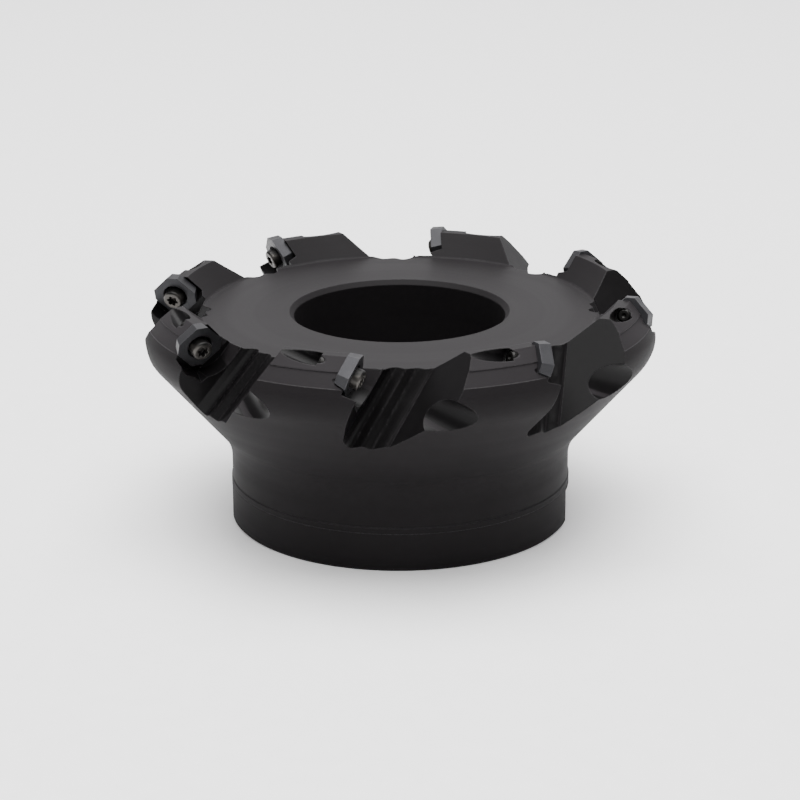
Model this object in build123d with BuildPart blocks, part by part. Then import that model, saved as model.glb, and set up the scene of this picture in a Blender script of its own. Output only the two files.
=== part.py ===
"""Shell-type face mill with eight screw-clamped indexable inserts.

One solid cutter body (hub, concave neck, flared cone and eight teeth), eight
square inserts with chamfered corners, and eight clamping screws.

The origin is on the bore axis in the plane of the back face, the face that
seats on the arbor.  +Z points from the back face to the cutting face, and the
two drive slots open towards +X and -X.  All sizes are in millimetres.
"""
import os
from math import atan2, cos, hypot, radians, sin, tan

from build123d import *

# ---------------------------------------------------------------- overall sizes
TEETH = 8
CUTTING_DIAMETER = 125.0
OVERALL_HEIGHT = 62.0
FIRST_TOOTH_AZIMUTH = -5.5

# ---------------------------------------------------------------- hub and neck
HUB_DIAMETER = 90.0
HUB_BAND_HEIGHT = 11.5
NECK_STEP = 0.25
NECK_FILLET = 13.0
HUB_EDGE_CHAMFER = 0.6
HUB_LINE_HEIGHT = 10.1
HUB_LINE_WIDTH = 0.2

# ---------------------------------------------------------------- flared cone and rim
CONE_START_HEIGHT = 21.8
RIM_OVERHANG = 4.8
RIM_CORNER_DROP = 14.3
RIM_TOP_DROP = 9.7
RIM_FILLET = 9.0
RIM_TOP_FILLET = 6.0

# ---------------------------------------------------------------- tooth ring
TOOTH_TOP_DROP = 0.3
TOP_LAND_INSET = 1.95
BAND_DEPTH = 3.2
LOWER_BAND_RADIAL = 2.5
LOWER_BAND_DEPTH = 3.5
BAND_STEP = 0.2
INNER_WALL_INSET = 4.9
INNER_WALL_ANGLE = 45.0
FACE_RECESS = 6.1
INNER_WALL_FILLET = 1.6

# ---------------------------------------------------------------- arbor seat
BORE_DIAMETER = 40.0
BORE_LENGTH = 30.0
BORE_CHAMFER = 0.8
COUNTERBORE_DIAMETER = 55.5
COUNTERBORE_CHAMFER = 1.2
DRIVE_SLOT_WIDTH = 16.4
DRIVE_SLOT_DEPTH = 9.0

# ---------------------------------------------------------------- insert
INSERT_SIZE = 10.3
INSERT_THICKNESS = 3.18
INSERT_CORNER_LEG = 2.1
INSERT_CLEARANCE_ANGLE = 13.0
DISH_DEPTH = 1.7
AXIAL_RAKE = 20.7
RADIAL_RAKE = 8.0

# ---------------------------------------------------------------- clamping screw
SCREW_HEAD_DIAMETER = 5.3
SCREW_HEAD_PROUD = 2.2
SCREW_HEAD_ROUND = 0.7
SCREW_DIAMETER = 3.5
SCREW_GRIP = 6.2
SCREW_TIP_CHAMFER = 0.4
SCREW_TIP_DIMPLE_DIAMETER = 1.3
SCREW_TIP_DIMPLE_DEPTH = 0.5
SOCKET_LOBE_CIRCLE_DIAMETER = 2.2
SOCKET_CORE_DIAMETER = 2.2
SOCKET_LOBE_DIAMETER = 0.9
SOCKET_DEPTH = 1.7

# ---------------------------------------------------------------- fits
THREAD_CLEARANCE = 0.05
INSERT_HOLE_CLEARANCE = 0.35
DISH_CLEARANCE = 0.7
HEAD_SEAT_GAP = 0.08
POCKET_WALL_GAP = 0.05
TAIL_RECESS_CLEARANCE = 0.55
SCREWDRIVER_CLEARANCE = 2.5

# ---------------------------------------------------------------- chip gullet and pocket
GULLET_SWEEP_ANGLE = 28.0
GULLET_LEAN = 4.0
GULLET_FRONT = 4.0
GULLET_WALL_RUN = 0.7
GULLET_FLOOR_GAP = 3.5
GULLET_LIP_GAP = 2.0
GULLET_RIDGE_HEIGHT = 0.9
GULLET_RIDGE_STARTS = (0.0, 3.7, 8.3)
GULLET_FLOOR_WIDTH = 9.8
POCKET_LIP = 0.4
NOSE_CLEARING_GAP = 1.3
NOSE_CLEARING_OFFSET = 0.4
POCKET_CORNER_RELIEF_RADIUS = 1.3
OUTER_CORNER_RELIEF_GAP = 0.45
OUTER_CORNER_RELIEF_DEPTH = 1.3
FAR = 40.0

# ---------------------------------------------------------------- derived sizes
cutting_radius = CUTTING_DIAMETER / 2
hub_radius = HUB_DIAMETER / 2
neck_radius = hub_radius - NECK_STEP
rim_radius = cutting_radius + RIM_OVERHANG
rim_corner_height = OVERALL_HEIGHT - RIM_CORNER_DROP
rim_top_height = OVERALL_HEIGHT - RIM_TOP_DROP
tooth_top = OVERALL_HEIGHT - TOOTH_TOP_DROP
face_height = OVERALL_HEIGHT - FACE_RECESS
band_radius = cutting_radius - TOP_LAND_INSET
inner_wall_radius = cutting_radius - INNER_WALL_INSET
insert_half = INSERT_SIZE / 2
insert_edge_half = insert_half - INSERT_CORNER_LEG
insert_reach = hypot(insert_half, insert_edge_half)
seat_half = insert_half - INSERT_THICKNESS * tan(radians(INSERT_CLEARANCE_ANGLE))
screw_reach = INSERT_THICKNESS + SCREW_GRIP
insert_hole_radius = SCREW_DIAMETER / 2 + INSERT_HOLE_CLEARANCE
dish_radius = SCREW_HEAD_DIAMETER / 2 + DISH_CLEARANCE
gullet_floor = insert_reach + GULLET_FLOOR_GAP
gullet_lip = insert_reach + GULLET_LIP_GAP
nose_clearing_radius = insert_reach + NOSE_CLEARING_GAP

# The rim's round takes at most this share of the straight side above it.
rim_turn = atan2(rim_radius - neck_radius, rim_corner_height - CONE_START_HEIGHT)
rim_side = rim_top_height - rim_corner_height
rim_round = min(RIM_FILLET, 0.7 * rim_side / tan(rim_turn / 2))


def station_direction(radial, tangential, axial):
    """Unit vector of a tooth at azimuth 0, from its radial, tangential and axial parts."""
    return Vector(radial, tangential, axial).normalized()


# Directions of a tooth whose wiper tip lies at azimuth 0.
rake_normal = station_direction(tan(radians(RADIAL_RAKE)), 1, -tan(radians(AXIAL_RAKE)))
outward = rake_normal.cross(Vector(0, 0, 1)).normalized()
downward = rake_normal.cross(outward).normalized()
edge_direction = (downward + outward).normalized()
inward_direction = (downward - outward).normalized()

# The outer end of the wiper edge sets the cutting diameter and the height.
wiper_tip = Vector(cutting_radius, 0, OVERALL_HEIGHT)
insert_centre = (
    wiper_tip
    + edge_direction * insert_edge_half
    + inward_direction * insert_half
)


def tooth_azimuth(index):
    """Azimuth of a tooth's wiper tip, in degrees."""
    return FIRST_TOOTH_AZIMUTH + index * 360 / TEETH


def tooth_plane(index, lift, x_direction=edge_direction, z_direction=rake_normal):
    """Plane at an insert's centre, raised along the rake normal by lift."""
    azimuth = tooth_azimuth(index)
    origin = insert_centre + rake_normal * lift
    return Plane(
        origin=origin.rotate(Axis.Z, azimuth),
        x_dir=x_direction.rotate(Axis.Z, azimuth),
        z_dir=z_direction.rotate(Axis.Z, azimuth),
    )


# The gullet is swept downwards and outwards, and leans back under the insert.
in_plane_sweep = (
    downward * cos(radians(GULLET_SWEEP_ANGLE)) + outward * sin(radians(GULLET_SWEEP_ANGLE))
)
gullet_sweep = (
    in_plane_sweep * cos(radians(GULLET_LEAN)) - rake_normal * sin(radians(GULLET_LEAN))
)
gullet_outward = gullet_sweep.cross(rake_normal).normalized()
gullet_across = gullet_outward.cross(gullet_sweep)


def chamfered_square(half, leg):
    """Corner points of a square with all four corners cut at 45 degrees."""
    near = half - leg
    return [
        (near, half), (half, near), (half, -near), (near, -half),
        (-near, -half), (-half, -near), (-half, near), (-near, half),
    ]


# ---------------------------------------------------------------- gullet section
floor_start = GULLET_FRONT + GULLET_WALL_RUN
heel_start = floor_start + GULLET_FLOOR_WIDTH

# The floor's soft wave: a crest at each ridge, and a trough midway to the next one.
floor_wave = []
for start, end in zip(GULLET_RIDGE_STARTS[:-1], GULLET_RIDGE_STARTS[1:]):
    floor_wave.append((floor_start + start, -gullet_floor))
    floor_wave.append((floor_start + (start + end) / 2, -gullet_floor - GULLET_RIDGE_HEIGHT))
floor_wave.append((floor_start + GULLET_RIDGE_STARTS[-1], -gullet_floor))
floor_wave.append((heel_start, -gullet_floor))

# ---------------------------------------------------------------- cutter body
lower_band_top = tooth_top - BAND_DEPTH
lower_band_radius = band_radius + BAND_DEPTH
rim_edge_height = lower_band_top - LOWER_BAND_DEPTH
rim_edge_radius = lower_band_radius + LOWER_BAND_RADIAL

with BuildPart() as cutter_body:
    with BuildSketch(Plane.XZ):
        with BuildLine():
            lower_edge = Polyline(
                (0, 0),
                (hub_radius - HUB_EDGE_CHAMFER, 0),
                (hub_radius, HUB_EDGE_CHAMFER),
                (hub_radius, HUB_LINE_HEIGHT - HUB_LINE_WIDTH / 2),
                (hub_radius - HUB_LINE_WIDTH / 2, HUB_LINE_HEIGHT),
                (hub_radius, HUB_LINE_HEIGHT + HUB_LINE_WIDTH / 2),
                (hub_radius, HUB_BAND_HEIGHT),
                (neck_radius, HUB_BAND_HEIGHT + NECK_STEP),
            )
            FilletPolyline(
                lower_edge @ 1,
                (neck_radius, CONE_START_HEIGHT),
                (rim_radius, rim_corner_height),
                (rim_radius, rim_top_height),
                (rim_edge_radius, rim_edge_height),
                radius=(NECK_FILLET, rim_round, RIM_TOP_FILLET),
            )
            wall_rise = tooth_top - face_height
            wall_run = wall_rise * tan(radians(INNER_WALL_ANGLE))
            wall_foot = (inner_wall_radius - wall_run, face_height)
            Polyline(
                (rim_edge_radius, rim_edge_height),
                (rim_edge_radius - BAND_STEP, rim_edge_height + BAND_STEP / 4),
                (lower_band_radius - BAND_STEP, lower_band_top),
                (lower_band_radius, lower_band_top + BAND_STEP / 4),
                (band_radius, tooth_top),
                (inner_wall_radius, tooth_top),
            )
            FilletPolyline(
                (inner_wall_radius, tooth_top),
                wall_foot,
                (0, face_height),
                radius=INNER_WALL_FILLET,
            )
            Line((0, face_height), (0, 0))
        make_face()
    revolve(axis=Axis.Z)

    # Pilot bore from the back face and counterbore for the arbor screw.
    with BuildSketch(Plane.XZ):
        with BuildLine():
            bore_radius = BORE_DIAMETER / 2
            counterbore_radius = COUNTERBORE_DIAMETER / 2
            Polyline(
                (0, 0),
                (bore_radius + BORE_CHAMFER, 0),
                (bore_radius, BORE_CHAMFER),
                (bore_radius, BORE_LENGTH),
                (counterbore_radius, BORE_LENGTH),
                (counterbore_radius, face_height - COUNTERBORE_CHAMFER),
                (counterbore_radius + COUNTERBORE_CHAMFER, face_height),
                (0, face_height),
                close=True,
            )
        make_face()
    revolve(axis=Axis.Z, mode=Mode.SUBTRACT)

    # Drive slots across the back face, open to both sides.
    with BuildSketch(Plane.XY):
        Rectangle(HUB_DIAMETER + 2, DRIVE_SLOT_WIDTH)
    extrude(amount=DRIVE_SLOT_DEPTH, mode=Mode.SUBTRACT)

    for index in range(TEETH):
        # Chip gullet: straight front wall, floor with soft ridges, heel at 45 degrees.
        across = tooth_plane(index, 0, x_direction=gullet_across, z_direction=gullet_sweep)
        with BuildSketch(across):
            with BuildLine():
                Polyline(
                    (heel_start, -gullet_floor),
                    (heel_start + FAR, FAR - gullet_floor),
                    (GULLET_FRONT, FAR - gullet_floor),
                    (GULLET_FRONT, -gullet_lip),
                    floor_wave[0],
                )
                Spline(*floor_wave)
            make_face()
        extrude(amount=FAR, both=True, mode=Mode.SUBTRACT)

        # Clearing in front of the insert, open upwards and outwards.
        with BuildSketch(tooth_plane(index, -POCKET_LIP, x_direction=gullet_outward)):
            with Locations((-NOSE_CLEARING_OFFSET, -NOSE_CLEARING_OFFSET)):
                Circle(nose_clearing_radius)
                Rectangle(
                    FAR,
                    FAR,
                    align=(Align.MIN, Align.MAX),
                )
                Rectangle(
                    nose_clearing_radius,
                    FAR,
                    align=(Align.MAX, Align.MAX),
                )
        extrude(amount=POCKET_LIP + GULLET_FRONT + 1, mode=Mode.SUBTRACT)

        # Insert pocket: a seat and two walls that lean with the insert's sides.
        with BuildSketch(tooth_plane(index, -INSERT_THICKNESS)):
            with Locations((seat_half + POCKET_WALL_GAP, seat_half + POCKET_WALL_GAP)):
                Rectangle(FAR, FAR, align=(Align.MAX, Align.MAX))
        extrude(
            amount=INSERT_THICKNESS + GULLET_FRONT,
            taper=-INSERT_CLEARANCE_ANGLE,
            mode=Mode.SUBTRACT,
        )

        # Relief in the corner between the two pocket walls.
        with BuildSketch(tooth_plane(index, -INSERT_THICKNESS)):
            with Locations((seat_half, seat_half)):
                Circle(POCKET_CORNER_RELIEF_RADIUS)
        extrude(amount=INSERT_THICKNESS, mode=Mode.SUBTRACT)

        # Relief round and behind the insert's outer corner.
        corner_middle = insert_half - INSERT_CORNER_LEG / 2
        relief_radius = INSERT_CORNER_LEG / 2**0.5 + OUTER_CORNER_RELIEF_GAP
        with BuildSketch(tooth_plane(index, -INSERT_THICKNESS - OUTER_CORNER_RELIEF_DEPTH)):
            with Locations((corner_middle, -corner_middle)):
                Circle(relief_radius)
        extrude(amount=INSERT_THICKNESS + GULLET_FRONT, mode=Mode.SUBTRACT)

        # Access for the screwdriver, in line with the screw.
        with BuildSketch(tooth_plane(index, 0)):
            Circle(SCREW_HEAD_DIAMETER / 2 + SCREWDRIVER_CLEARANCE)
        extrude(amount=FAR, mode=Mode.SUBTRACT)

        # Screw hole, and the wider hole behind it that breaks out of the tooth top.
        with BuildSketch(tooth_plane(index, 0)):
            Circle(SCREW_DIAMETER / 2 + THREAD_CLEARANCE)
        extrude(amount=-screw_reach, mode=Mode.SUBTRACT)
        with BuildSketch(tooth_plane(index, -screw_reach)):
            Circle(SCREW_DIAMETER / 2 + TAIL_RECESS_CLEARANCE)
        extrude(amount=-FAR / 2, mode=Mode.SUBTRACT)

cutter_body.part.label = "cutter_body"


def make_insert(index):
    """Square insert with chamfered corners, clearance on all sides and a dished hole."""
    with BuildPart() as insert:
        with BuildSketch(tooth_plane(index, 0)):
            Polygon(*chamfered_square(insert_half, INSERT_CORNER_LEG), align=None)
        extrude(amount=-INSERT_THICKNESS, taper=INSERT_CLEARANCE_ANGLE)
        with BuildSketch(tooth_plane(index, 0)):
            Circle(insert_hole_radius)
        extrude(amount=-INSERT_THICKNESS, mode=Mode.SUBTRACT)
        with BuildSketch(tooth_plane(index, 0)):
            Circle(dish_radius)
        with BuildSketch(tooth_plane(index, -DISH_DEPTH)):
            Circle(insert_hole_radius)
        loft(mode=Mode.SUBTRACT)
    return insert


def make_screw(index):
    """Clamping screw: proud socket head, cone seat, plain shank with a dimpled tip."""
    plane = tooth_plane(index, 0)
    head_radius = SCREW_HEAD_DIAMETER / 2
    shank_radius = SCREW_DIAMETER / 2
    dish_slope = (dish_radius - insert_hole_radius) / DISH_DEPTH
    cone_top = -DISH_CLEARANCE / dish_slope + HEAD_SEAT_GAP
    cone_foot = cone_top - (head_radius - shank_radius) / dish_slope
    dimple_radius = SCREW_TIP_DIMPLE_DIAMETER / 2
    section = Plane(origin=plane.origin, x_dir=plane.x_dir, z_dir=-plane.y_dir)
    with BuildPart() as screw:
        with BuildSketch(section):
            with BuildLine():
                side_top = SCREW_HEAD_PROUD - SCREW_HEAD_ROUND
                Line((0, SCREW_HEAD_PROUD), (head_radius - SCREW_HEAD_ROUND, SCREW_HEAD_PROUD))
                RadiusArc(
                    (head_radius - SCREW_HEAD_ROUND, SCREW_HEAD_PROUD),
                    (head_radius, side_top),
                    SCREW_HEAD_ROUND,
                )
                Polyline(
                    (head_radius, side_top),
                    (head_radius, cone_top),
                    (shank_radius, cone_foot),
                    (shank_radius, -screw_reach + SCREW_TIP_CHAMFER),
                    (shank_radius - SCREW_TIP_CHAMFER, -screw_reach),
                    (dimple_radius, -screw_reach),
                    (0, -screw_reach + SCREW_TIP_DIMPLE_DEPTH),
                    (0, SCREW_HEAD_PROUD),
                )
            make_face()
        revolve(axis=Axis(plane.origin, plane.z_dir))
        with BuildSketch(tooth_plane(index, SCREW_HEAD_PROUD)):
            Circle(SOCKET_CORE_DIAMETER / 2)
            with PolarLocations(SOCKET_LOBE_CIRCLE_DIAMETER / 2, 6):
                Circle(SOCKET_LOBE_DIAMETER / 2)
        extrude(amount=-SOCKET_DEPTH, mode=Mode.SUBTRACT)
    return screw


os.makedirs("parts", exist_ok=True)
export_step(cutter_body.part, "parts/cutter_body.step")

for station in range(TEETH):
    insert_part = make_insert(station).part
    insert_part.label = f"insert_{station + 1}"
    export_step(insert_part, f"parts/insert_{station + 1}.step")
    screw_part = make_screw(station).part
    screw_part.label = f"insert_screw_{station + 1}"
    export_step(screw_part, f"parts/insert_screw_{station + 1}.step")

print("insert centre at azimuth 0:", insert_centre)
print("rake normal at azimuth 0:", rake_normal)
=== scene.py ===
# %% [markdown]
# # A 125 mm face mill, finished in Blender
# A face mill is a steel disc that carries a ring of carbide inserts. The solid model already has
# every real shape: one cutter body, eight inserts and eight clamping screws. This lesson gives
# those shapes their finishes, a floor, soft light and a camera. The colours, the gloss and the
# lamps are chosen by how they look.

# %% Load the solid model
import math

import bmesh
import bpy
from mathutils import Matrix, Vector


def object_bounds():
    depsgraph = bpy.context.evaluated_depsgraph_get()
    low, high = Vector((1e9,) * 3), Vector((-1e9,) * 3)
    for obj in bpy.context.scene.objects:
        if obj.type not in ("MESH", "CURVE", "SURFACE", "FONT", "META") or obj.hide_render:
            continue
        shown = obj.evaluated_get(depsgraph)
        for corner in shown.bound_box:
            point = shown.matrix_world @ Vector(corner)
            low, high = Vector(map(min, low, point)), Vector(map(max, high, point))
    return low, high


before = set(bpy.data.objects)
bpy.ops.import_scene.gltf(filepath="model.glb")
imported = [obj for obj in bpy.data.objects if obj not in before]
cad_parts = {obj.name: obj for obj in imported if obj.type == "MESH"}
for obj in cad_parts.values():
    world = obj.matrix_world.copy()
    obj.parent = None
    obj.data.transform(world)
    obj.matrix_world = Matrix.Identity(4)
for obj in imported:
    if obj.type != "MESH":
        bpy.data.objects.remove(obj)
cad_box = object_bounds()
print("solid model:", len(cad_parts), "nodes, box", cad_box)

# %% [markdown]
# ## Sort the pieces
# Each piece's name says what it is. A small dictionary keeps the three sorts apart, because a
# finish belongs to a sort of piece, not to one piece.

# %% Sort the pieces
sorts = {"body": [], "insert": [], "screw": []}
for name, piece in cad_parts.items():
    if name.startswith("insert_screw"):
        sorts["screw"].append(piece)
    elif name.startswith("insert"):
        sorts["insert"].append(piece)
    else:
        sorts["body"].append(piece)
for sort, members in sorts.items():
    print(sort, len(members))

# %% [markdown]
# ## The camera
# The mill stands on its back face and is seen from a little above, as a catalogue shows it. A
# long lens at about 0.7 m gives a gentle perspective, in which the lower circles look rounder than
# the upper ones. The camera stands on a circle round the bore's axis, so its place is one angle,
# one distance and one height.

# %% The camera
CAMERA_DISTANCE = 0.68378
CAMERA_HEIGHT = 0.25914
CAMERA_TURN = math.radians(3.3)
CAMERA_TILT = math.radians(18.46)
CAMERA_ROLL = math.radians(-0.26)
SENSOR_WIDTH = 36
FOCAL_LENGTH = 122.19

camera_data = bpy.data.cameras.new("studio_camera")
camera_data.sensor_width = SENSOR_WIDTH
camera_data.lens = FOCAL_LENGTH
camera = bpy.data.objects.new("studio_camera", camera_data)
bpy.context.scene.collection.objects.link(camera)
camera_bearing = math.radians(-90) + CAMERA_TURN
camera.location = (
    CAMERA_DISTANCE * math.cos(camera_bearing),
    CAMERA_DISTANCE * math.sin(camera_bearing),
    CAMERA_HEIGHT,
)
turned = Matrix.Rotation(CAMERA_TURN, 3, "Z")
tilted = Matrix.Rotation(math.radians(90) - CAMERA_TILT, 3, "X")
rolled = Matrix.Rotation(CAMERA_ROLL, 3, "Z")
camera.rotation_euler = (turned @ tilted @ rolled).to_euler()
bpy.context.scene.camera = camera
print("camera at", tuple(round(value, 4) for value in camera.location))

# %% [markdown]
# ## A helper for materials
# Every finish below is a small network of nodes. One helper adds a node and fills its sockets, so
# that a network reads as a list: a plain value goes into a socket, and a socket of another node
# becomes a link.

# %% A helper for materials
def add_node(tree, kind, settings=None, **sockets):
    """Adds one node.

    A socket is named by its label, with _ for a space, or by its number, as in i0.
    """
    node = tree.nodes.new(kind)
    for key, value in (settings or {}).items():
        setattr(node, key, value)
    for key, value in sockets.items():
        place = int(key[1:]) if key[1:].isdigit() else key.replace("_", " ")
        if isinstance(value, bpy.types.NodeSocket):
            tree.links.new(value, node.inputs[place])
        else:
            node.inputs[place].default_value = value
    return node


def math_node(tree, operation, first, second=0.0):
    """One sum on two values."""
    node = add_node(tree, "ShaderNodeMath", {"operation": operation}, i0=first, i1=second)
    return node.outputs[0]


def spread(tree, value, low, high, to_low=0.0, to_high=1.0):
    """Stretches the range from low to high smoothly onto another range."""
    node = add_node(
        tree, "ShaderNodeMapRange", {"interpolation_type": "SMOOTHSTEP"},
        i0=value, i1=low, i2=high, i3=to_low, i4=to_high,
    )
    return node.outputs[0]


def new_material(name):
    """An empty material with its Principled shader joined to the output."""
    material = bpy.data.materials.new(name)
    material.use_nodes = True
    tree = material.node_tree
    tree.nodes.clear()
    shader = tree.nodes.new("ShaderNodeBsdfPrincipled")
    output = tree.nodes.new("ShaderNodeOutputMaterial")
    tree.links.new(shader.outputs[0], output.inputs[0])
    return material, tree, shader


def new_group(name, inputs, outputs):
    """An empty node group with named sockets; inputs give their defaults."""
    tree = bpy.data.node_groups.new(name, "ShaderNodeTree")
    for label, default in inputs.items():
        socket = tree.interface.new_socket(label, in_out="INPUT", socket_type="NodeSocketFloat")
        socket.default_value = default
    for label, kind in outputs.items():
        tree.interface.new_socket(label, in_out="OUTPUT", socket_type=kind)
    return tree, tree.nodes.new("NodeGroupInput"), tree.nodes.new("NodeGroupOutput")


print("helpers ready")

# %% [markdown]
# ## The floor
# A plain pale table under the mill. Its finish still has a faint unevenness, because a perfectly
# even floor looks like no floor at all. It glows a little, like a light table, so that the wide
# rim doesn't leave the foot of the hub in a dark shadow.

# %% The floor
FLOOR_SIZE = 6.0
FLOOR_GLOW = 0.2

floor_mesh = bpy.data.meshes.new("floor")
builder = bmesh.new()
bmesh.ops.create_grid(builder, x_segments=2, y_segments=2, size=FLOOR_SIZE / 2)
bmesh.ops.translate(builder, verts=builder.verts, vec=(0, 0, cad_box[0][2]))
builder.to_mesh(floor_mesh)
builder.free()
floor = bpy.data.objects.new("floor", floor_mesh)
bpy.context.scene.collection.objects.link(floor)

floor_material, tree, shader = new_material("pale_table")
place = add_node(tree, "ShaderNodeTexCoord")
grain = add_node(tree, "ShaderNodeTexNoise", i0=place.outputs["Object"], Scale=180.0, Detail=4.0)
shade = spread(tree, grain.outputs[0], 0.3, 0.7, 0.9, 0.93)
tree.links.new(shade, shader.inputs["Base Color"])
shader.inputs["Roughness"].default_value = 0.6
shader.inputs["Specular IOR Level"].default_value = 0.2
shader.inputs["Emission Color"].default_value = (1, 1, 1, 1)
shader.inputs["Emission Strength"].default_value = FLOOR_GLOW
floor_mesh.materials.append(floor_material)
print("floor at height", cad_box[0][2])

# %% [markdown]
# ## Soft light
# Dark metal is drawn by what it reflects, more than by what falls on it. Wide lamps overhead and
# behind light the top face and the edges. A lamp high in front is mirrored by the bevelled bands
# under the rim, and two faint ones at the sides draw the round of the hub. Each lamp is a
# rectangle that looks at the mill.

# %% Soft light
mill_centre = Vector((0, 0, 0.04))

# name, bearing in degrees, distance, height, width, depth, power in watts
LAMPS = (
    ("overhead", 90, 0.1, 1.6, 1.8, 1.6, 84),
    ("behind", 90, 1.9, 0.8, 2.8, 1.2, 9.5),
    ("front_top", -90, 1.1, 1.5, 1.4, 0.6, 16),
    ("left_side", 185, 1.4, 0.5, 0.4, 0.9, 0.3),
    ("right_side", -5, 1.4, 0.5, 0.4, 0.9, 0.3),
)


def softbox(name, bearing, distance, height, width, depth, power):
    """A rectangular lamp at a bearing round the mill, turned to face it."""
    lamp = bpy.data.lights.new(name, "AREA")
    lamp.shape = "RECTANGLE"
    lamp.size = width
    lamp.size_y = depth
    lamp.energy = power
    stand = bpy.data.objects.new(name, lamp)
    angle = math.radians(bearing)
    stand.location = (distance * math.cos(angle), distance * math.sin(angle), height)
    aim = mill_centre - stand.location
    stand.rotation_euler = aim.to_track_quat("-Z", "Y").to_euler()
    bpy.context.scene.collection.objects.link(stand)
    print(name, power, "W")


for lamp_values in LAMPS:
    softbox(*lamp_values)

# %% [markdown]
# ## The air round the mill
# The room is bright behind the mill and dark in front of it, where the camera stands. Faces that
# look at the camera then stay deep and dark, and the top face, which mirrors the far wall at a low
# angle, comes out lighter. A background shader reads the direction and shades the room to match.

# %% The air round the mill
DARKEST_AIR = 0.12
BRIGHTEST_AIR = 0.7

world = bpy.data.worlds.new("studio_air")
world.use_nodes = True
tree = world.node_tree
direction = add_node(tree, "ShaderNodeTexCoord")
axes = add_node(tree, "ShaderNodeSeparateXYZ", Vector=direction.outputs["Generated"])
glow = spread(tree, axes.outputs[1], -0.55, 0.75, DARKEST_AIR, BRIGHTEST_AIR)
background = tree.nodes["Background"]
background.inputs["Color"].default_value = (0.99, 0.96, 1.0, 1)
tree.links.new(glow, background.inputs["Strength"])
bpy.context.scene.world = world
print("air from", DARKEST_AIR, "to", BRIGHTEST_AIR)

# %% [markdown]
# ## A shared effect: soft edges
# Three effects come back in the finishes, so each is a node group that is built once and placed
# with its own values. The first rounds an edge for the light alone and says where edges are. A
# bevel in the mesh would do it too, but the solid model's faces have to stay as they are, so a
# Bevel node rounds only the normal. Where the rounded normal and the true one differ, there is an
# edge, and their dot product makes the mask.

# %% Soft edge group
edge_tree, edge_in, edge_out = new_group(
    "soft_edge",
    {"Radius": 0.0003},
    {"Mask": "NodeSocketFloat", "Normal": "NodeSocketVector"},
)
rounded = add_node(edge_tree, "ShaderNodeBevel", {"samples": 6}, Radius=edge_in.outputs["Radius"])
surface = add_node(edge_tree, "ShaderNodeNewGeometry")
agreement = add_node(
    edge_tree, "ShaderNodeVectorMath", {"operation": "DOT_PRODUCT"},
    i0=rounded.outputs[0], i1=surface.outputs["True Normal"],
)
edge_tree.links.new(
    spread(edge_tree, agreement.outputs["Value"], 0.995, 0.9), edge_out.inputs["Mask"]
)
edge_tree.links.new(rounded.outputs[0], edge_out.inputs["Normal"])
print("soft_edge has", len(edge_tree.nodes), "nodes")

# %% [markdown]
# ## A shared effect: turned rings
# A lathe leaves fine rings, and they run round the mill on every turned face. Rings could be
# stretched over each face, but one rule covers them all: the pattern depends only on the distance
# from the axis and on the height. The group also tells turned surfaces from milled ones, because
# a turned surface never leans round the axis. Among the turned ones it finds the flat face and the
# bevels that look up and outward.

# %% Turned rings group
ring_tree, ring_in, ring_out = new_group(
    "turned_rings",
    {"Pitch": 0.0004},
    {
        "Height": "NodeSocketFloat", "Broad": "NodeSocketFloat", "Turned": "NodeSocketFloat",
        "Flat": "NodeSocketFloat", "Bevel": "NodeSocketFloat",
    },
)
place = add_node(ring_tree, "ShaderNodeTexCoord")
parts = add_node(ring_tree, "ShaderNodeSeparateXYZ", Vector=place.outputs["Object"])
flat = add_node(ring_tree, "ShaderNodeCombineXYZ", X=parts.outputs[0], Y=parts.outputs[1])
radius = add_node(
    ring_tree, "ShaderNodeVectorMath", {"operation": "LENGTH"}, i0=flat.outputs[0]
).outputs["Value"]
profile = add_node(ring_tree, "ShaderNodeCombineXYZ", X=radius, Y=parts.outputs[2])
fine_scale = math_node(ring_tree, "DIVIDE", 0.5, ring_in.outputs["Pitch"])
fine = add_node(
    ring_tree, "ShaderNodeTexNoise", Vector=profile.outputs[0], Scale=fine_scale, Detail=2.0
)
broad = add_node(
    ring_tree, "ShaderNodeTexNoise", Vector=profile.outputs[0], Scale=140.0, Detail=3.0
)
around = add_node(
    ring_tree, "ShaderNodeVectorMath", {"operation": "CROSS_PRODUCT"},
    i0=(0.0, 0.0, 1.0), i1=flat.outputs[0],
)
around_unit = add_node(
    ring_tree, "ShaderNodeVectorMath", {"operation": "NORMALIZE"}, i0=around.outputs[0]
)
surface = add_node(ring_tree, "ShaderNodeNewGeometry")
side = add_node(
    ring_tree, "ShaderNodeVectorMath", {"operation": "DOT_PRODUCT"},
    i0=around_unit.outputs[0], i1=surface.outputs["True Normal"],
)
lean = math_node(ring_tree, "ABSOLUTE", side.outputs["Value"])
outward = add_node(
    ring_tree, "ShaderNodeVectorMath", {"operation": "DOT_PRODUCT"},
    i0=flat.outputs[0], i1=surface.outputs["True Normal"],
)
upward = add_node(
    ring_tree, "ShaderNodeSeparateXYZ", Vector=surface.outputs["True Normal"]
).outputs[2]
looks_out = spread(ring_tree, outward.outputs["Value"], 0.0, 0.01)
looks_up = spread(ring_tree, upward, 0.45, 0.56)
ring_tree.links.new(fine.outputs[0], ring_out.inputs["Height"])
ring_tree.links.new(broad.outputs[0], ring_out.inputs["Broad"])
ring_tree.links.new(spread(ring_tree, lean, 0.12, 0.04), ring_out.inputs["Turned"])
ring_tree.links.new(spread(ring_tree, upward, 0.85, 0.97), ring_out.inputs["Flat"])
bevel = math_node(ring_tree, "MULTIPLY", looks_out, looks_up)
ring_tree.links.new(bevel, ring_out.inputs["Bevel"])
print("turned_rings has", len(ring_tree.nodes), "nodes")

# %% [markdown]
# ## A shared effect: mottle
# An oxide or a ground surface is never quite even. Two noises at very different scales give a slow
# cloud and a fine speckle, and each finish picks what it needs from them.

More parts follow.
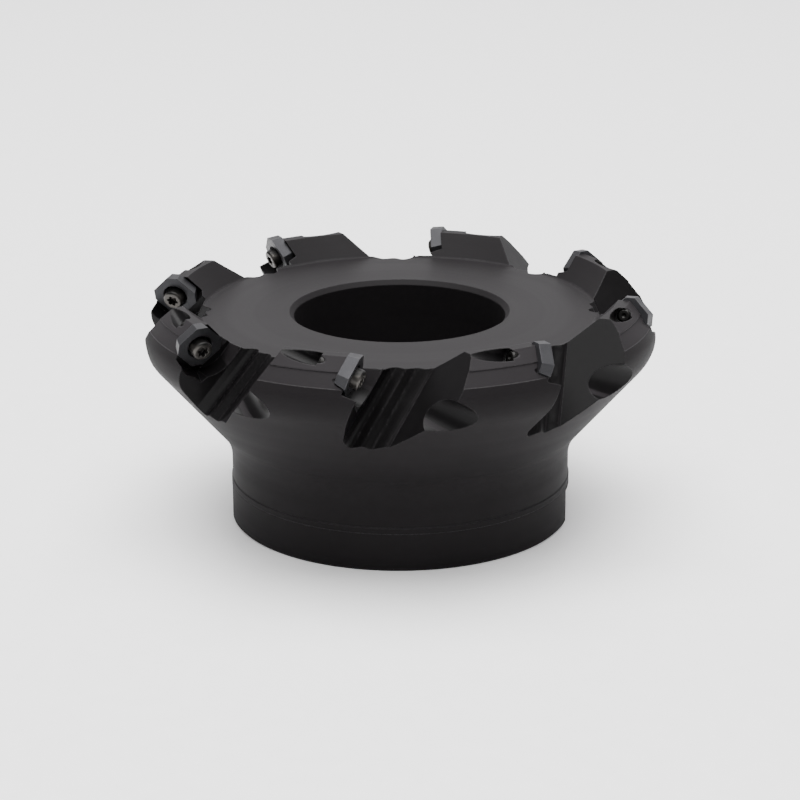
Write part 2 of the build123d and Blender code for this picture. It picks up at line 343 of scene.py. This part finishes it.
# %% Mottle group
mottle_tree, mottle_in, mottle_out = new_group(
    "mottle",
    {"Scale": 60.0},
    {"Cloud": "NodeSocketFloat", "Speckle": "NodeSocketFloat"},
)
place = add_node(mottle_tree, "ShaderNodeTexCoord")
cloud = add_node(
    mottle_tree, "ShaderNodeTexNoise",
    Vector=place.outputs["Object"], Scale=mottle_in.outputs["Scale"], Detail=5.0, Roughness=0.6,
)
speckle_scale = math_node(mottle_tree, "MULTIPLY", mottle_in.outputs["Scale"], 45.0)
speckle = add_node(
    mottle_tree, "ShaderNodeTexNoise",
    Vector=place.outputs["Object"], Scale=speckle_scale, Detail=3.0, Roughness=0.7,
)
for noise, label in ((cloud, "Cloud"), (speckle, "Speckle")):
    contrast = spread(mottle_tree, noise.outputs[0], 0.3, 0.7)
    mottle_tree.links.new(contrast, mottle_out.inputs[label])
print("mottle has", len(mottle_tree.nodes), "nodes")

# %% [markdown]
# ## Placing a group
# A group is placed in a material as one node, with its own values.

# %% Placing a group
def place_group(tree, group, **sockets):
    """Places a node group in a material's tree."""
    node = tree.nodes.new("ShaderNodeGroup")
    node.node_tree = group
    for label, value in sockets.items():
        node.inputs[label].default_value = value
    return node


def mix_colour(tree, amount, first, second):
    """Mixes two colours by an amount from 0 to 1."""
    node = add_node(
        tree, "ShaderNodeMix", {"data_type": "RGBA"}, i0=amount, i6=first, i7=second
    )
    return node.outputs[2]


def mix_value(tree, amount, first, second):
    """Mixes two plain values by an amount from 0 to 1."""
    node = add_node(
        tree, "ShaderNodeMix", {"data_type": "FLOAT"}, i0=amount, i2=first, i3=second
    )
    return node.outputs[0]


print("placing helpers ready")

# %% [markdown]
# ## Black oxide steel
# The body is hardened steel with a thin black oxide on it. The oxide is dark and satin, so the
# lathe's rings show through it as fine changes in gloss. The face is given more gloss than the
# sides, and the milled chip gullets are darker and a little glossier again. The bevelled bands
# that look up and outward get a lighter colour, a painted sheen for the light that they mirror.
# The edges are lighter too: partly where the oxide wears thin, and partly a painted highlight
# where a rounded edge catches the light.

# %% Black oxide steel
OXIDE_DEEP = (0.0071, 0.0062, 0.0067, 1)
OXIDE_PALE = (0.0094, 0.0083, 0.009, 1)
OXIDE_ON_RINGS = (0.0098, 0.0087, 0.0094, 1)
# Painted sheen: a lighter colour for the bevels that look up and outward, for the light they
# mirror.
BEVEL_PAINTED_SHEEN = (0.0175, 0.0158, 0.017, 1)
MILLED_DEEP = (0.0036, 0.0033, 0.0035, 1)
MILLED_PALE = (0.0054, 0.005, 0.0053, 1)
# Partly oxide worn thin, partly a painted highlight on the edges.
RUBBED_OXIDE_AND_EDGE_HIGHLIGHT = (0.075, 0.073, 0.075, 1)

body_steel, tree, shader = new_material("black_oxide_steel")
edge = place_group(tree, edge_tree, Radius=0.00035)
rings = place_group(tree, ring_tree, Pitch=0.00035)
mottle = place_group(tree, mottle_tree, Scale=45.0)
oxide = mix_colour(tree, mottle.outputs["Cloud"], OXIDE_DEEP, OXIDE_PALE)
ringed = mix_colour(tree, rings.outputs["Broad"], oxide, OXIDE_ON_RINGS)
# Paints the sheen onto the bevels that look up and outward.
bevelled = mix_colour(tree, rings.outputs["Bevel"], ringed, BEVEL_PAINTED_SHEEN)
milled = mix_colour(tree, mottle.outputs["Cloud"], MILLED_DEEP, MILLED_PALE)
turned = mix_colour(tree, rings.outputs["Turned"], milled, bevelled)
# Edges get a lighter colour: partly oxide worn thin, partly a painted highlight.
edge_rub_and_highlight = math_node(tree, "MULTIPLY", edge.outputs["Mask"], mottle.outputs["Speckle"])
wear_and_highlight = math_node(tree, "MULTIPLY", edge_rub_and_highlight, 0.38)
tree.links.new(mix_colour(tree, wear_and_highlight, turned, RUBBED_OXIDE_AND_EDGE_HIGHLIGHT), shader.inputs["Base Color"])

satin = spread(tree, mottle.outputs["Cloud"], 0.0, 1.0, 0.32, 0.4)
side_gloss = spread(tree, rings.outputs["Broad"], 0.35, 0.65, 0.58, 0.63)
face_gloss = spread(tree, rings.outputs["Broad"], 0.35, 0.65, 0.47, 0.5)
ring_gloss = mix_value(tree, rings.outputs["Flat"], side_gloss, face_gloss)
tree.links.new(
    mix_value(tree, rings.outputs["Turned"], satin, ring_gloss), shader.inputs["Roughness"]
)
shader.inputs["Metallic"].default_value = 0.0
shader.inputs["Specular IOR Level"].default_value = 0.085

ring_height = mix_value(tree, rings.outputs["Turned"], 0.5, rings.outputs["Height"])
speckle_height = math_node(tree, "MULTIPLY", mottle.outputs["Speckle"], 0.6)
relief = math_node(tree, "ADD", ring_height, speckle_height)
bump = add_node(
    tree, "ShaderNodeBump", Strength=0.12, Distance=0.00006,
    Height=relief, Normal=edge.outputs["Normal"],
)
tree.links.new(bump.outputs[0], shader.inputs["Normal"])
print("black oxide steel has", len(tree.nodes), "nodes")

# %% [markdown]
# ## Ground carbide
# An insert is cemented carbide, pressed, sintered and ground on its sides. It is a pale, slightly
# cool grey with a very fine grain. Its sharp edges are honed, and a thin bright line on them is a
# painted highlight, for the light that a honed edge catches.

# %% Ground carbide
CARBIDE_DEEP = (0.02, 0.0198, 0.0215, 1)
CARBIDE_PALE = (0.028, 0.0277, 0.0302, 1)
CARBIDE_GRAIN = (0.034, 0.034, 0.0365, 1)
# A painted highlight for the honed edges.
HONED_EDGE_HIGHLIGHT = (0.1, 0.1, 0.105, 1)

carbide, tree, shader = new_material("ground_carbide")
edge = place_group(tree, edge_tree, Radius=0.00015)
mottle = place_group(tree, mottle_tree, Scale=160.0)
grey = mix_colour(tree, mottle.outputs["Cloud"], CARBIDE_DEEP, CARBIDE_PALE)
grain = mix_colour(tree, mottle.outputs["Speckle"], grey, CARBIDE_GRAIN)
# Paints the highlight along the edges.
honed_highlight = math_node(tree, "MULTIPLY", edge.outputs["Mask"], 0.6)
tree.links.new(mix_colour(tree, honed_highlight, grain, HONED_EDGE_HIGHLIGHT), shader.inputs["Base Color"])
tree.links.new(
    spread(tree, mottle.outputs["Cloud"], 0.0, 1.0, 0.38, 0.48), shader.inputs["Roughness"]
)
shader.inputs["Metallic"].default_value = 0.6
shader.inputs["Specular IOR Level"].default_value = 0.25
bump = add_node(
    tree, "ShaderNodeBump", Strength=0.15, Distance=0.00003,
    Height=mottle.outputs["Speckle"], Normal=edge.outputs["Normal"],
)
tree.links.new(bump.outputs[0], shader.inputs["Normal"])
print("ground carbide has", len(tree.nodes), "nodes")

# %% [markdown]
# ## Screw steel
# The clamping screws are steel with a warm grey finish. Their edges are brighter than their sides:
# partly the rub of a key on the head, and partly a painted highlight where the edges catch the
# light. The screws slope upward from head to tip, so a height tells the two apart. The tips sit
# deep in their recesses and look dark there, so they get a darker colour of their own, a painted
# shade. The bright edges and the dark tips are choices for the look, not known finishes.

# %% Screw steel
DARK_TIP_START = 0.0574
DARK_TIP_FADE = 0.0008
SCREW_DEEP = (0.045, 0.042, 0.0385, 1)
SCREW_PALE = (0.07, 0.0655, 0.0605, 1)
# Partly a rubbed head, partly a painted highlight on the screw edges.
HEAD_RUB_AND_EDGE_HIGHLIGHT = (0.19, 0.182, 0.172, 1)
# Painted shade for the screw tips that sit deep in their recesses.
TIP_PAINTED_SHADE = (0.012, 0.0115, 0.011, 1)

screw_steel, tree, shader = new_material("screw_steel")
edge = place_group(tree, edge_tree, Radius=0.00022)
mottle = place_group(tree, mottle_tree, Scale=220.0)
warm = mix_colour(tree, mottle.outputs["Cloud"], SCREW_DEEP, SCREW_PALE)
# Screw edges get a lighter colour: partly rub, partly a painted highlight.
edge_rub_and_highlight = math_node(tree, "MULTIPLY", edge.outputs["Mask"], 0.7)
bright_head = mix_colour(tree, edge_rub_and_highlight, warm, HEAD_RUB_AND_EDGE_HIGHLIGHT)
place = add_node(tree, "ShaderNodeTexCoord")
height = add_node(tree, "ShaderNodeSeparateXYZ", Vector=place.outputs["Object"]).outputs[2]
# Paints the shade onto the screw tips, above a height.
tip = spread(tree, height, DARK_TIP_START, DARK_TIP_START + DARK_TIP_FADE)
tree.links.new(mix_colour(tree, tip, bright_head, TIP_PAINTED_SHADE), shader.inputs["Base Color"])
tree.links.new(
    spread(tree, mottle.outputs["Speckle"], 0.0, 1.0, 0.34, 0.46), shader.inputs["Roughness"]
)
shader.inputs["Metallic"].default_value = 0.8
bump = add_node(
    tree, "ShaderNodeBump", Strength=0.12, Distance=0.00003,
    Height=mottle.outputs["Speckle"], Normal=edge.outputs["Normal"],
)
tree.links.new(bump.outputs[0], shader.inputs["Normal"])
print("screw steel has", len(tree.nodes), "nodes")

# %% [markdown]
# ## Dress the pieces
# Each piece keeps its mesh and gets its finish in every material slot.

# %% Dress the pieces
finishes = {"body": body_steel, "insert": carbide, "screw": screw_steel}
for sort, members in sorts.items():
    for piece in members:
        for slot in piece.material_slots:
            slot.material = finishes[sort]
    print(sort, "wears", finishes[sort].name)
